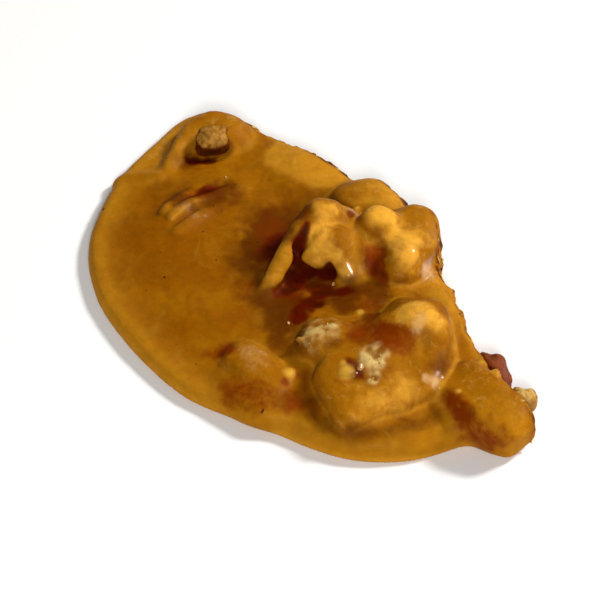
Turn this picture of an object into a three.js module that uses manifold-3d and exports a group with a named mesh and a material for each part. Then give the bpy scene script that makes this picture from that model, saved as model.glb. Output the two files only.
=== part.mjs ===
// One broken-off half of a poured pecan praline, lying flat.
// Millimetres, +Z up. X runs along the break, -Y is the poured rim, +Y is the broken side.
import * as THREE from "three";
import { mergeVertices } from "three/addons/utils/BufferGeometryUtils.js";
import Module from "manifold-3d";

const wasm = await Module();
wasm.setup();

// ---------------------------------------------------------------- driving dimensions

const EDGE_HEIGHT = 3.0; // candy depth just inside the rim
const POOL_HEIGHT = 4.9; // candy depth well inside
const RIM_RADIUS = 2.0; // rounding of the poured rim
const RISE = 16; // distance over which the candy gets from edge to pool height
const BREAK_BLEND = 0.8; // rounding of the top edge along the break
const SEAT_GAP = 0.35; // clearance between a bare pecan and its pocket
const FAR_FRONT = -60; // Y in front of everything
const SETTLE_STEP = 0.3; // furthest that a skin vertex is moved at a time
const CELL_MARGIN = 0.06; // share of a grid cell that its vertex keeps from the cell's sides
const PECAN_FACETS = [14, 10]; // round and down a bare pecan
const POCKET_FACETS = [12, 8]; // round and down its pocket
const MIDDLE = { x: 0.06, y: -17.97 }; // middle of the finished half, in the layout below

// The poured rim of the whole round, hand-set points joined by a smooth closed curve.
const RIM = [
  [-47.6, -3], [-45.7, -14.8], [-41.6, -25.6], [-33, -36.8], [-22, -43], [-9.7, -45.1],
  [2, -44.9], [8.8, -43.1], [14.6, -39.8], [21.4, -36.7], [30.2, -31.9], [35.9, -24.8],
  [39.4, -15], [42.5, -8], [38, 10], [18, 24], [-12, 25], [-38, 12],
];

// The broken edge, from the left rim to past the right tip.
const BREAK = [
  [-54, -4], [-42, 0], [-30, 3], [-14, 7], [0, 9.4], [7.5, 7.6],
  [12, 3.6], [21, 0], [29, -3.2], [38, -4.4], [52, -6],
];

// Every rounded block below has a centre, full size, heading, pitch and roll in degrees, its
// blend into what is there, and its squareness (2 is an ellipsoid, 3 and more a rounded block).

// Broad rises of the pool under the pecans.
const MOUNDS = [
  { at: [11, -8, 2.2], size: [44, 28, 10.4], heading: 22, blend: 6 },
  { at: [22, -17, 1.6], size: [36, 30, 7.4], heading: 30, blend: 5 },
  { at: [33, -8.5, 2.6], size: [22, 13, 8.2], heading: 0, blend: 3 },
];

// The low floor between the tall pecan and the large one.
const DIPS = [{ at: [0.6, -17.2, 9.0], size: [19, 10, 7.0], heading: 62, blend: 3 }];

// Candy-coated pecans.
const LUMPS = [
  // foot under the pecan at the upper left, and the half-sunk sliver beside it
  { at: [-38.2, -5.4, 3.2], size: [12, 10, 9.0], heading: 60, blend: 2.5, square: 2.2 },
  { at: [-26.2, -17.2, 2.8], size: [19, 9.5, 5.4], heading: 92, blend: 2, square: 2.2 },
  // candy over the two pecans that the break cuts through at the left
  { at: [-21.5, 0.5, 2.6], size: [20, 13, 8.4], heading: 20, blend: 2.5 },
  { at: [-6.5, 3.0, 4.4], size: [15, 13, 10.6], heading: -30, blend: 2.5, square: 2.2 },
  // tall pecan standing behind the fin
  { at: [-4.0, -6.2, 6.8], size: [10.5, 8.5, 11.4], heading: 70, blend: 1.6, square: 2.5 },
  { at: [-5.3, -7.2, 11.2], size: [6.2, 5.6, 7.2], heading: 50, blend: 1.2, square: 2.5 },
  { at: [-1.3, -9.5, 8.8], size: [6.6, 5.8, 8.4], heading: 50, blend: 1.0, square: 2.6 },
  { at: [-1.2, -12.0, 8.4], size: [4.6, 3.8, 5.0], heading: 50, blend: 1.0, square: 2.2 },
  { at: [1.8, -6.0, 6.4], size: [10.5, 9, 9.8], heading: 40, blend: 2, square: 2.2 },
  // cluster beside it, at the break
  { at: [5.2, 1.0, 5.0], size: [16, 10.4, 12], heading: -48, blend: 2, square: 2.8 },
  { at: [1.7, -1.0, 10.3], size: [7.2, 6.8, 7.8], heading: 20, blend: 1.8, square: 2.4 },
  { at: [8.4, -1.4, 8.9], size: [10.5, 6.4, 7.6], heading: -48, pitch: -10, blend: 1.6, square: 2.4 },
  { at: [8.7, 2.0, 10.2], size: [5.2, 4.6, 5.0], heading: -48, pitch: -12, blend: 0.9, square: 2.4 },
  { at: [4.6, 4.2, 7.6], size: [11.4, 7.4, 8.0], heading: -50, blend: 2, square: 2.4 },
  // large broken pecan near the front, with its smooth back facing the rim
  { at: [20.8, -16.4, 4.4], size: [19, 15, 10.6], heading: 50, blend: 1.6, square: 2.8 },
  { at: [24.8, -21.2, 4.8], size: [17.8, 13.4, 8.8], heading: 76, pitch: 7, roll: 12, blend: 1.2, square: 5 },
  { at: [22.0, -8.8, 8.3], size: [8.6, 7.6, 9.4], heading: 42, roll: 12, blend: 2.2, square: 2.8 },
  { at: [29.0, -12.2, 5.4], size: [10, 6, 8], heading: -50, blend: 1.4, square: 2.6 },
  { at: [13.4, -21.4, 4.8], size: [10.4, 9.6, 8.4], heading: 30, blend: 1.4, square: 2.5 },
  // low oblong pecan near the front rim
  { at: [12.4, -36.2, 2.4], size: [14, 9, 5.4], heading: 4, blend: 2.5, square: 2.2 },
  { at: [9.9, -33.5, 3.2], size: [13.2, 7.2, 6.2], heading: 4, roll: 6, blend: 1.0, square: 3.6 },
  // pecan half that sticks out at the right tip
  { at: [39.3, -9.7, 4.3], size: [17.2, 9.2, 8.8], heading: 8, pitch: -4, roll: 6, blend: 1.2, square: 4.2 },
];

const HOLLOWS = [
  { at: [-0.9, -13.6, 6.9], size: [13, 6.4, 3.8], heading: 60, blend: 1.2 }, // under the tall pecan
  { at: [19.6, -15.6, 12.8], size: [9, 6, 5], heading: 60, blend: 1.6 }, // in the large one's top
  { at: [-36.2, -9.6, 6.2], size: [9.6, 5.6, 5.6], heading: 50, blend: 0.7 }, // round the left pecan
];

// Ridges: a chain of points, each with its own radius.
const RIDGES = [
  // spur at the foot of the tall pecan's face
  { blend: 1.6, chain: [[-0.8, -9.0, 10.0, 2.2], [2.4, -9.2, 8.2, 2.1], [4.6, -9.2, 6.2, 2.0]] },
  // saddle and shoulder that run down from the large pecan's highest point
  { blend: 3, chain: [[21.4, -9.5, 9.2, 3.4], [22.5, -13.5, 7.6, 3.2], [23.5, -17.0, 6.8, 3.0]] },
  { blend: 2.4, chain: [[25.0, -9.2, 9.6, 2.4], [27.4, -11.2, 7.8, 2.2], [29.0, -14.4, 7.0, 2.0]] },
  // the fin that runs down from the tall pecan, and its foot
  {
    blend: 1.0,
    chain: [
      [-6.2, -8, 12.4, 2.1], [-5.3, -13, 10.7, 1.8], [-4.4, -16.6, 8.7, 1.6],
      [-3.2, -20, 6.5, 1.5], [-2.2, -23.6, 4.2, 1.3],
    ],
  },
  { blend: 1, chain: [[-6.6, -7.6, 7, 2.8], [-5.0, -14.6, 6, 1.8], [-3.4, -20, 4.2, 1.1]] },
  // the lip beside the left pecan
  {
    blend: 1.8,
    chain: [
      [-41.0, -5.4, 5.4, 2.0], [-41.2, -8.6, 5.4, 1.8], [-40.6, -11.8, 4.6, 1.6],
      [-38.6, -14.8, 3.8, 1.4], [-36.6, -17.2, 3.2, 1.1],
    ],
  },
];

// Pecans with bare skin or flesh. Those marked cut end flush with the broken side.
const PECANS = [
  { name: "pecan_left", at: [-36.9, -7.6, 5.8], size: [5.6, 4.8, 5.0], heading: 50, roll: 25, square: 3 },
  { name: "pecan_red", at: [34.2, -3.7, 4.2], size: [8.2, 4.6, 6.2], heading: -14, square: 2.2 },
  { name: "pecan_pale", at: [42.0, -3.7, 4.9], size: [4.6, 3.8, 4.2], heading: 60, square: 2.6 },
  { name: "pecan_cut_left", at: [-22, 3, 3.1], size: [14, 9, 4.2], heading: 24, square: 2.4, cut: true },
  { name: "pecan_cut_middle", at: [-6, 6, 4.3], size: [12, 9, 5.6], heading: -40, square: 2.4, cut: true },
  { name: "pecan_cut_right", at: [18, -0.4, 3.1], size: [11, 8, 4], heading: -20, square: 2.4, cut: true },
];

const SKIN_SHOWS = new Set(["pecan_left", "pecan_red"]);

// ---------------------------------------------------------------- field of distances

const radians = THREE.MathUtils.degToRad;
const clamp = THREE.MathUtils.clamp;

function softMin(a, b, blend) {
  const t = clamp(0.5 + (0.5 * (b - a)) / blend, 0, 1);
  return b + (a - b) * t - blend * t * (1 - t);
}

function softMax(a, b, blend) {
  return -softMin(-a, -b, blend);
}

function turn({ heading = 0, pitch = 0, roll = 0 }) {
  const turned = new THREE.Euler(radians(roll), -radians(pitch), radians(heading), "ZYX");
  return new THREE.Quaternion().setFromEuler(turned);
}

// Distance to a rounded block or ellipsoid, negative inside.
function blockDistance(block) {
  const centre = new THREE.Vector3(...block.at);
  const back = turn(block).invert();
  const half = block.size.map((s) => s / 2);
  const square = block.square ?? 2;
  const local = new THREE.Vector3();
  return (point) => {
    local.copy(point).sub(centre).applyQuaternion(back);
    let sum = 0;
    let slope = 0;
    for (let k = 0; k < 3; k += 1) {
      const ratio = Math.abs(local.getComponent(k)) / half[k] + 1e-6;
      sum += ratio ** square;
      slope += (ratio ** (square - 1) / half[k]) ** 2;
    }
    const size = sum ** (1 / square);
    return (size - 1) / (Math.sqrt(slope) * size ** (1 - square));
  };
}

// Distance to a chain of points whose radius changes along it.
function chainDistance(chain) {
  const links = chain.slice(1).map((end, i) => {
    const line = new THREE.Line3(new THREE.Vector3(...chain[i]), new THREE.Vector3(...end));
    return { line, from: chain[i][3], to: end[3] };
  });
  const near = new THREE.Vector3();
  return (point) => {
    let best = Infinity;
    for (const { line, from, to } of links) {
      const along = line.closestPointToPointParameter(point, true);
      line.at(along, near);
      best = Math.min(best, point.distanceTo(near) - (from + (to - from) * along));
    }
    return best;
  };
}

function smoothCurve(points, closed, steps) {
  const knots = points.map(([x, y]) => new THREE.Vector3(x, y, 0));
  return new THREE.CatmullRomCurve3(knots, closed, "catmullrom", 0.5).getPoints(steps);
}

// Distance to the rim in plan, negative inside it.
function rimDistance() {
  const outline = smoothCurve(RIM, true, 96).slice(0, -1);
  const flat = new THREE.Vector3();
  const near = new THREE.Vector3();
  const edge = new THREE.Line3();
  return (point) => {
    flat.set(point.x, point.y, 0);
    let best = Infinity;
    let inside = false;
    outline.forEach((a, i) => {
      const b = outline[(i + 1) % outline.length];
      edge.set(a, b).closestPointToPoint(flat, true, near);
      best = Math.min(best, flat.distanceTo(near));
      const crosses = a.y > flat.y !== b.y > flat.y;
      if (crosses && flat.x < a.x + ((b.x - a.x) * (flat.y - a.y)) / (b.y - a.y)) {
        inside = !inside;
      }
    });
    return inside ? -best : best;
  };
}

// The broken edge as Y over X.
function breakLine() {
  const line = smoothCurve(BREAK, false, 80);
  return (x) => {
    const i = clamp(line.findIndex((p) => p.x > x), 1, line.length - 1);
    const [a, b] = [line[i - 1], line[i]];
    return a.y + ((b.y - a.y) * (x - a.x)) / (b.x - a.x);
  };
}

// The poured pool alone: flat top that rises inward, rounded rim, open downwards.
function poolDistance() {
  const rim = rimDistance();
  return (point) => {
    const out = rim(point);
    const inward = THREE.MathUtils.smoothstep(-out, 0, RISE);
    const above = point.z - (EDGE_HEIGHT + (POOL_HEIGHT - EDGE_HEIGHT) * inward);
    const side = out + RIM_RADIUS;
    const top = above + RIM_RADIUS;
    const corner = Math.hypot(Math.max(side, 0), Math.max(top, 0));
    return corner + Math.min(Math.max(side, top), 0) - RIM_RADIUS;
  };
}

function candyDistance() {
  const pool = poolDistance();
  const breakY = breakLine();
  const blocks = (list) => list.map((b) => ({ distance: blockDistance(b), blend: b.blend }));
  const [mounds, dips, lumps, hollows] = [MOUNDS, DIPS, LUMPS, HOLLOWS].map(blocks);
  const ridges = RIDGES.map((r) => ({ distance: chainDistance(r.chain), blend: r.blend }));
  const join = (start, shapes, point) =>
    shapes.reduce((d, shape) => softMin(d, shape.distance(point), shape.blend), start);
  const cut = (start, shapes, point) =>
    shapes.reduce((d, shape) => softMax(d, -shape.distance(point), shape.blend), start);
  return (point) => {
    let d = join(pool(point), mounds, point);
    d = cut(d, dips, point);
    d = join(d, lumps, point);
    d = cut(d, hollows, point);
    d = join(d, ridges, point);
    return softMax(d, 0.9 * (point.y - breakY(point.x)), BREAK_BLEND);
  };
}

// ---------------------------------------------------------------- skin over a field

// Grid lines from low to high, close together between fineFrom and fineTo.
function gridLines({ low, high, coarse, fine, fineFrom, fineTo }) {
  const lines = [low];
  while (lines.at(-1) < high) {
    const last = lines.at(-1);
    lines.push(last + (last >= fineFrom && last < fineTo ? fine : coarse));
  }
  return lines;
}

const GRID = {
  x: gridLines({ low: -52, high: 51, coarse: 1.9, fine: 1.4, fineFrom: -12, fineTo: 36 }),
  y: gridLines({ low: -50, high: 13, coarse: 1.8, fine: 1.4, fineFrom: -30, fineTo: 9 }),
  z: gridLines({ low: -2.8, high: 17, coarse: 1.4, fine: 1.4, fineFrom: 0, fineTo: 0 }),
};

// Moves a point onto the surface, by at most one step of the given length each time.
function settle(point, distance, step) {
  const delta = 0.05;
  for (let round = 0; round < 3; round += 1) {
    const d = distance(point);
    const slope = new THREE.Vector3();
    for (let k = 0; k < 3; k += 1) {
      const ahead = point.clone().setComponent(k, point.getComponent(k) + delta);
      slope.setComponent(k, (distance(ahead) - d) / delta);
    }
    const move = slope.multiplyScalar(-d / Math.max(slope.lengthSq(), 0.25));
    point.add(move.clampLength(0, step));
  }
}

// One vertex in each grid cell that the surface crosses, one quad round each crossed edge.
function skin(distance, grid) {
  const axes = [grid.x, grid.y, grid.z];
  const count = axes.map((lines) => lines.length);
  const strides = [1, count[0], count[0] * count[1]];
  const point = new THREE.Vector3();
  const values = new Float64Array(count[0] * count[1] * count[2]);
  const cellAt = (node) => node[0] * strides[0] + node[1] * strides[1] + node[2] * strides[2];
  const cellCorner = (node, share) => {
    const spot = axes.map((lines, k) => lines[node[k]] + share * (lines[node[k] + 1] - lines[node[k]]));
    return new THREE.Vector3(...spot);
  };
  const everyNode = (limits, visit) => {
    const node = [0, 0, 0];
    for (node[2] = 0; node[2] < limits[2]; node[2] += 1) {
      for (node[1] = 0; node[1] < limits[1]; node[1] += 1) {
        for (node[0] = 0; node[0] < limits[0]; node[0] += 1) {
          visit(node);
        }
      }
    }
  };
  everyNode(count, (node) => {
    point.set(axes[0][node[0]], axes[1][node[1]], axes[2][node[2]]);
    const outer = node.some((n, k) => n === 0 || n === count[k] - 1);
    values[cellAt(node)] = outer ? Math.max(distance(point), 0.5) : distance(point);
  });

  const vertices = [];
  const vertexOf = new Map();
  everyNode(count.map((n) => n - 1), (node) => {
    const sum = [0, 0, 0];
    let crossings = 0;
    for (let axis = 0; axis < 3; axis += 1) {
      const [b, c] = [(axis + 1) % 3, (axis + 2) % 3];
      for (let corner = 0; corner < 4; corner += 1) {
        const start = [...node];
        start[b] += corner & 1;
        start[c] += corner >> 1;
        const from = values[cellAt(start)];
        const to = values[cellAt(start) + strides[axis]];
        if (from < 0 === to < 0) {
          continue;
        }
        const along = from / (from - to);
        const lines = axes[axis];
        sum[axis] += lines[start[axis]] + along * (lines[start[axis] + 1] - lines[start[axis]]);
        sum[b] += axes[b][start[b]];
        sum[c] += axes[c][start[c]];
        crossings += 1;
      }
    }
    if (crossings > 0) {
      point.fromArray(sum).divideScalar(crossings);
      settle(point, distance, SETTLE_STEP);
      point.clamp(cellCorner(node, CELL_MARGIN), cellCorner(node, 1 - CELL_MARGIN));
      vertexOf.set(cellAt(node), vertices.length / 3);
      vertices.push(point.x, point.y, point.z);
    }
  });

  const triangles = [];
  const corner = (i) => new THREE.Vector3().fromArray(vertices, 3 * i);
  everyNode(count.map((n) => n - 1), (node) => {
    for (let axis = 0; axis < 3; axis += 1) {
      const [b, c] = [(axis + 1) % 3, (axis + 2) % 3];
      const here = cellAt(node);
      const inside = values[here] < 0;
      if (node[b] === 0 || node[c] === 0 || inside === values[here + strides[axis]] < 0) {
        continue;
      }
      const around = [here - strides[b] - strides[c], here - strides[c], here, here - strides[b]];
      const quad = around.map((cell) => vertexOf.get(cell));
      if (!inside) {
        quad.reverse();
      }
      const [p, q, r, s] = quad;
      if (corner(p).distanceTo(corner(r)) <= corner(q).distanceTo(corner(s))) {
        triangles.push(p, q, r, p, r, s);
      } else {
        triangles.push(q, r, s, q, s, p);
      }
    }
  });
  return toSolid(vertices, triangles);
}

// ---------------------------------------------------------------- solids

function toSolid(vertices, triangles) {
  const mesh = new wasm.Mesh({
    numProp: 3,
    vertProperties: new Float32Array(vertices),
    triVerts: new Uint32Array(triangles),
  });
  return new wasm.Manifold(mesh);
}

function geometrySolid(geometry) {
  const bare = geometry.clone();
  bare.deleteAttribute("normal");
  bare.deleteAttribute("uv");
  const merged = mergeVertices(bare, 1e-4);
  return toSolid(merged.attributes.position.array, merged.index.array);
}

function toGeometry(solid) {
  const { vertProperties, triVerts } = solid.getMesh();
  const geometry = new THREE.BufferGeometry();
  geometry.setAttribute("position", new THREE.BufferAttribute(new Float32Array(vertProperties), 3));
  geometry.setIndex(new THREE.BufferAttribute(new Uint32Array(triVerts), 1));
  geometry.translate(-MIDDLE.x, -MIDDLE.y, 0);
  geometry.computeVertexNormals();
  return geometry;
}

// A pecan piece as a closed mesh, made larger all round by grow.
function pecanSolid(pecan, grow, facets) {
  const sphere = new THREE.SphereGeometry(1, ...facets);
  const half = pecan.size.map((s) => s / 2 + grow);
  const place = turn(pecan);
  const at = new THREE.Vector3(...pecan.at);
  const spots = sphere.attributes.position;
  const spot = new THREE.Vector3();
  for (let i = 0; i < spots.count; i += 1) {
    spot.fromBufferAttribute(spots, i);
    const reach = half.reduce((sum, h, k) => sum + Math.abs(spot.getComponent(k) / h) ** pecan.square, 0);
    spot.multiplyScalar(reach ** (-1 / pecan.square)).applyQuaternion(place).add(at);
    spots.setXYZ(i, spot.x, spot.y, spot.z);
  }
  return geometrySolid(sphere);
}

// Everything on the pecan side of the break, as a tall prism.
function breakPrism() {
  const line = smoothCurve(BREAK, false, 80);
  const shape = new THREE.Shape(line.map(({ x, y }) => new THREE.Vector2(x, y)));
  shape.lineTo(BREAK.at(-1)[0], FAR_FRONT);
  shape.lineTo(BREAK[0][0], FAR_FRONT);
  const depth = 2 * GRID.z.at(-1);
  const prism = new THREE.ExtrudeGeometry(shape, { depth, bevelEnabled: false, steps: 1 });
  return geometrySolid(prism.translate(0, 0, -depth / 2));
}

function tableCutter() {
  const size = 3 * (GRID.x.at(-1) - GRID.x[0]);
  const box = new THREE.BoxGeometry(size, size, size);
  return geometrySolid(box.translate(0, 0, -size / 2));
}

// ---------------------------------------------------------------- materials and nodes

function material(name, color, roughness) {
  return new THREE.MeshStandardMaterial({ name, color, roughness, metalness: 0 });
}

function node(name, solid, look) {
  const mesh = new THREE.Mesh(toGeometry(solid), look);
  mesh.name = name;
  return mesh;
}

function candy() {
  let solid = skin(candyDistance(), GRID).subtract(tableCutter());
  for (const pecan of PECANS) {
    solid = solid.subtract(pecanSolid(pecan, SEAT_GAP, POCKET_FACETS));
  }
  return node("candy", solid, material("candy", 0xa0650f, 0.4));
}

function barePecans() {
  const prism = breakPrism();
  return PECANS.map((pecan) => {
    const whole = pecanSolid(pecan, 0, PECAN_FACETS);
    const solid = pecan.cut ? whole.intersect(prism) : whole;
    const bare = SKIN_SHOWS.has(pecan.name);
    return node(pecan.name, solid, bare ? material("pecan_skin", 0x7a2e12, 0.5) : material("pecan_flesh", 0xd2b070, 0.7));
  });
}

const praline = new THREE.Group();
praline.name = "pecan_praline_half";
praline.add(candy(), ...barePecans());

export default praline;
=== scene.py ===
"""Looks of a broken-off half of a poured pecan praline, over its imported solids."""
import math

import bmesh
import bpy
import numpy as np
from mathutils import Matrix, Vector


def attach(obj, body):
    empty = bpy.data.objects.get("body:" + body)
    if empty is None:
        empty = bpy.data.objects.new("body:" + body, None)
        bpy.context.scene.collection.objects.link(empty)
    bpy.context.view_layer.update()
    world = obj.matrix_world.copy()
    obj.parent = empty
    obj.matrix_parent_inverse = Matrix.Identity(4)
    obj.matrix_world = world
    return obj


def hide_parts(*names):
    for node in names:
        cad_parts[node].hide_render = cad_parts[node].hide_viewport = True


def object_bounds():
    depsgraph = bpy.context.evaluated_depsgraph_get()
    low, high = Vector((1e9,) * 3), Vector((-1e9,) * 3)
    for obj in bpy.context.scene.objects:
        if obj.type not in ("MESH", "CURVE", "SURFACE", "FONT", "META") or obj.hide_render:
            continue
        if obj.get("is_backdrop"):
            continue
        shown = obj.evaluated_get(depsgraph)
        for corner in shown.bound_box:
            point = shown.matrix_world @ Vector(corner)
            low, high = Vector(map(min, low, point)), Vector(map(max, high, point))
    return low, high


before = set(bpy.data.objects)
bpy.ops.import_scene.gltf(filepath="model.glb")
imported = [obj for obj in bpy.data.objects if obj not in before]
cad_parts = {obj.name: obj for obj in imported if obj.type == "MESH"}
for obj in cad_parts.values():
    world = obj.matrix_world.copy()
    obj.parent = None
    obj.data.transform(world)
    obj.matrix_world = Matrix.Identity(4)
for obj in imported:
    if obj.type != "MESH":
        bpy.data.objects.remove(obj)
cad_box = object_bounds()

import openvdb
from mathutils import Vector

# ------------------------------------------------------------------ layout, in millimetres
# The same named places as the solids have. MIDDLE is the origin's place in this layout.

MM = 0.001
MIDDLE = np.array([0.06, -17.97, 0.0])
EDGE_HEIGHT = 3.0  # candy depth just inside the rim
POOL_HEIGHT = 4.9  # candy depth well inside
RIM_RADIUS = 2.0  # rounding of the rim's top
FOOT_RADIUS = 0.9  # rounding where the rim meets the table
RISE = 16.0  # distance over which the candy gets from edge to pool height
BREAK_BLEND = 0.5  # rounding of the top edge along the break
BREAK_SLANT = 0.9  # turns a gap along Y into about the distance to the slanting break

RIM = [
    (-47.6, -3), (-45.7, -14.8), (-41.6, -25.6), (-33, -36.8), (-22, -43), (-9.7, -45.1),
    (2, -44.9), (8.8, -43.1), (14.6, -39.8), (21.4, -36.7), (30.2, -31.9), (35.9, -24.8),
    (39.4, -15), (42.5, -8), (38, 10), (18, 24), (-12, 25), (-38, 12),
]
BREAK = [
    (-54, -4), (-42, 0), (-30, 3), (-14, 7), (0, 9.4), (7.5, 7.6),
    (12, 3.6), (21, 0), (29, -3.2), (38, -4.4), (52, -6),
]


def block(at, size, heading=0, pitch=0, roll=0, blend=1.0, square=2.0):
    """A coated pecan or swelling: a rounded block, or an ellipsoid where square is 2."""
    return dict(at=at, size=size, turn=(heading, pitch, roll), blend=blend, square=square)


MOUNDS = [
    block((11, -8, 2.2), (44, 28, 10.4), 22, blend=6),
    block((22, -17, 1.6), (36, 30, 7.4), 30, blend=5),
    block((33, -8.5, 2.6), (22, 13, 8.2), 0, blend=3),
]
DIPS = [
    block((0.6, -17.2, 9.0), (19, 10, 7.0), 62, blend=3),
]
LUMPS = [
    # foot under the pecan at the upper left, and the half-sunk sliver beside it
    block((-38.2, -5.4, 3.2), (12, 10, 9.0), 60, blend=2.5, square=2.2),
    block((-26.2, -17.2, 2.8), (19, 9.5, 5.4), 92, blend=2, square=2.2),
    # candy over the two pecans that the break cuts through at the left
    block((-21.5, 0.5, 2.6), (20, 13, 8.4), 20, blend=2.5),
    block((-6.5, 3.0, 4.4), (15, 13, 10.6), -30, blend=2.5, square=2.2),
    # tall pecan standing behind the fin
    block((-4.0, -6.2, 6.8), (10.5, 8.5, 11.4), 70, blend=1.6, square=2.5),
    block((-5.3, -7.2, 11.2), (6.2, 5.6, 7.2), 50, blend=1.2, square=2.5),
    block((-1.3, -9.5, 8.8), (6.6, 5.8, 8.4), 50, blend=1.0, square=2.6),
    block((-1.2, -12.0, 8.4), (4.6, 3.8, 5.0), 50, blend=1.0, square=2.2),
    block((1.8, -6.0, 6.4), (10.5, 9, 9.8), 40, blend=2, square=2.2),
    # cluster beside it, at the break
    block((5.2, 1.0, 5.0), (16, 10.4, 12), -48, blend=2, square=2.8),
    block((1.7, -1.0, 10.3), (7.2, 6.8, 7.8), 20, blend=1.8, square=2.4),
    block((8.4, -1.4, 8.9), (10.5, 6.4, 7.6), -48, -10, blend=1.6, square=2.4),
    block((8.7, 2.0, 10.2), (5.2, 4.6, 5.0), -48, -12, blend=0.9, square=2.4),
    block((4.6, 4.2, 7.6), (11.4, 7.4, 8.0), -50, blend=2, square=2.4),
    # large broken pecan near the front, with its smooth back facing the rim
    block((20.8, -16.4, 4.4), (19, 15, 10.6), 50, blend=1.6, square=2.8),
    block((24.8, -21.2, 4.8), (17.8, 13.4, 8.8), 76, 7, 12, blend=1.2, square=5),
    block((22.0, -8.8, 8.3), (8.6, 7.6, 9.4), 42, 0, 12, blend=2.2, square=2.8),
    block((29.0, -12.2, 5.4), (10, 6, 8), -50, blend=1.4, square=2.6),
    block((13.4, -21.4, 4.8), (10.4, 9.6, 8.4), 30, blend=1.4, square=2.5),
    # low oblong pecan near the front rim
    block((12.4, -36.2, 2.4), (14, 9, 5.4), 4, blend=2.5, square=2.2),
    block((9.9, -33.5, 3.2), (13.2, 7.2, 6.2), 4, 0, 6, blend=1.0, square=3.6),
    # pecan half that sticks out at the right tip
    block((39.3, -9.7, 4.3), (17.2, 9.2, 8.8), 8, -4, 6, blend=1.2, square=4.2),
]
HOLLOWS = [
    block((-0.9, -13.6, 6.9), (13, 6.4, 3.8), 60, blend=1.2),
    block((19.6, -15.6, 12.8), (9, 6, 5), 60, blend=1.6),
    block((-36.2, -9.6, 6.2), (9.6, 5.6, 5.6), 50, blend=0.7),
]
# Chains of points, each with its own radius, and the blend of the whole.
RIDGES = [
    ([(-0.8, -9.0, 10.0, 2.2), (2.4, -9.2, 8.2, 2.1), (4.6, -9.2, 6.2, 2.0)], 1.6),
    ([(21.4, -9.5, 9.2, 3.4), (22.5, -13.5, 7.6, 3.2), (23.5, -17.0, 6.8, 3.0)], 3.0),
    ([(25.0, -9.2, 9.6, 2.4), (27.4, -11.2, 7.8, 2.2), (29.0, -14.4, 7.0, 2.0)], 2.4),
    ([(-6.2, -8, 12.4, 2.1), (-5.3, -13, 10.7, 1.8), (-4.4, -16.6, 8.7, 1.6),
      (-3.2, -20, 6.5, 1.5), (-2.2, -23.6, 4.2, 1.3)], 1.0),
    ([(-6.6, -7.6, 7, 2.8), (-5.0, -14.6, 6, 1.8), (-3.4, -20, 4.2, 1.1)], 1.0),
    ([(-41.0, -5.4, 5.4, 2.0), (-41.2, -8.6, 5.4, 1.8), (-40.6, -11.8, 4.6, 1.6),
      (-38.6, -14.8, 3.8, 1.4), (-36.6, -17.2, 3.2, 1.1)], 1.8),
]
# Low relief that only the looks have: ribs of the half-sunk sliver, folds by the rim.
LOW_RIDGES = [
    ([(-28.4, -23.4, 4.6, 1.3), (-28.9, -19.5, 4.8, 1.2)], 0.7),
    ([(-26.4, -23.4, 4.9, 1.1), (-26.3, -19, 5.2, 1.2), (-26.2, -14, 4.8, 1)], 0.6),
    ([(-23.5, -24.4, 4.2, 1.1), (-23.7, -20, 4.7, 1.2), (-24, -16, 4.4, 0.9)], 0.6),
    ([(-25.0, -12.8, 4.6, 1.0), (-24.4, -10.2, 4.4, 0.8)], 0.8),
    # slopes up to the large pecan at its left
    ([(17.8, -9.4, 8.2, 2.0), (19.2, -13.2, 9.0, 2.0)], 3.0),
    ([(15.2, -23.2, 6.4, 2.0), (18.4, -24.0, 6.8, 2.0)], 2.0),
    # the lower lip of the tall pecan's face
    ([(-2.2, -13.2, 8.4, 1.5), (-0.6, -12.6, 7.8, 1.5)], 1.0),
    ([(-41.4, -23.9, 1.2, 1.3), (-39.6, -22.2, 2.3, 1.2), (-37.0, -19.2, 3.3, 0.9)], 1.8),
]
LOW_GROOVES = [
    ([(-24.9, -24.8, 5.2, 0.5), (-25.2, -18.5, 6.1, 0.5)], 0.5),
    ([(-28.3, -18.0, 6.0, 0.6), (-27.6, -12.6, 5.7, 0.6)], 0.8),
    ([(8.8, 4.0, 12.1, 0.4), (10.4, 1.8, 12.2, 0.4), (11.5, -0.6, 11.4, 0.4),
      (12.3, -2.9, 10.6, 0.4)], 0.4),
    # the slot between the fin and the tall pecan's face
    ([(-4.7, -11.6, 14.1, 0.5), (-3.9, -13.1, 13.0, 0.9), (-3.6, -14.1, 11.2, 1.0),
      (-4.0, -15.0, 9.0, 1.0)], 0.8),
]

PECANS = {
    "pecan_left": block((-36.9, -7.6, 5.8), (5.6, 4.8, 5.0), 50, 0, 25, square=3),
    "pecan_red": block((34.2, -3.7, 4.2), (8.2, 4.6, 6.2), -14, square=2.2),
    "pecan_pale": block((42.0, -3.7, 4.9), (4.6, 3.8, 4.2), 60, square=2.6),
    "pecan_cut_left": block((-22, 3, 3.1), (14, 9, 4.2), 24, square=2.4),
    "pecan_cut_middle": block((-6, 6, 4.3), (12, 9, 5.6), -40, square=2.4),
    "pecan_cut_right": block((18, -0.4, 3.1), (11, 8, 4), -20, square=2.4),
}
CUT_PECANS = ("pecan_cut_left", "pecan_cut_middle", "pecan_cut_right")
POCKET_LAP = 0.12  # how far a cut pecan reaches into the wall of its pocket

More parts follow.
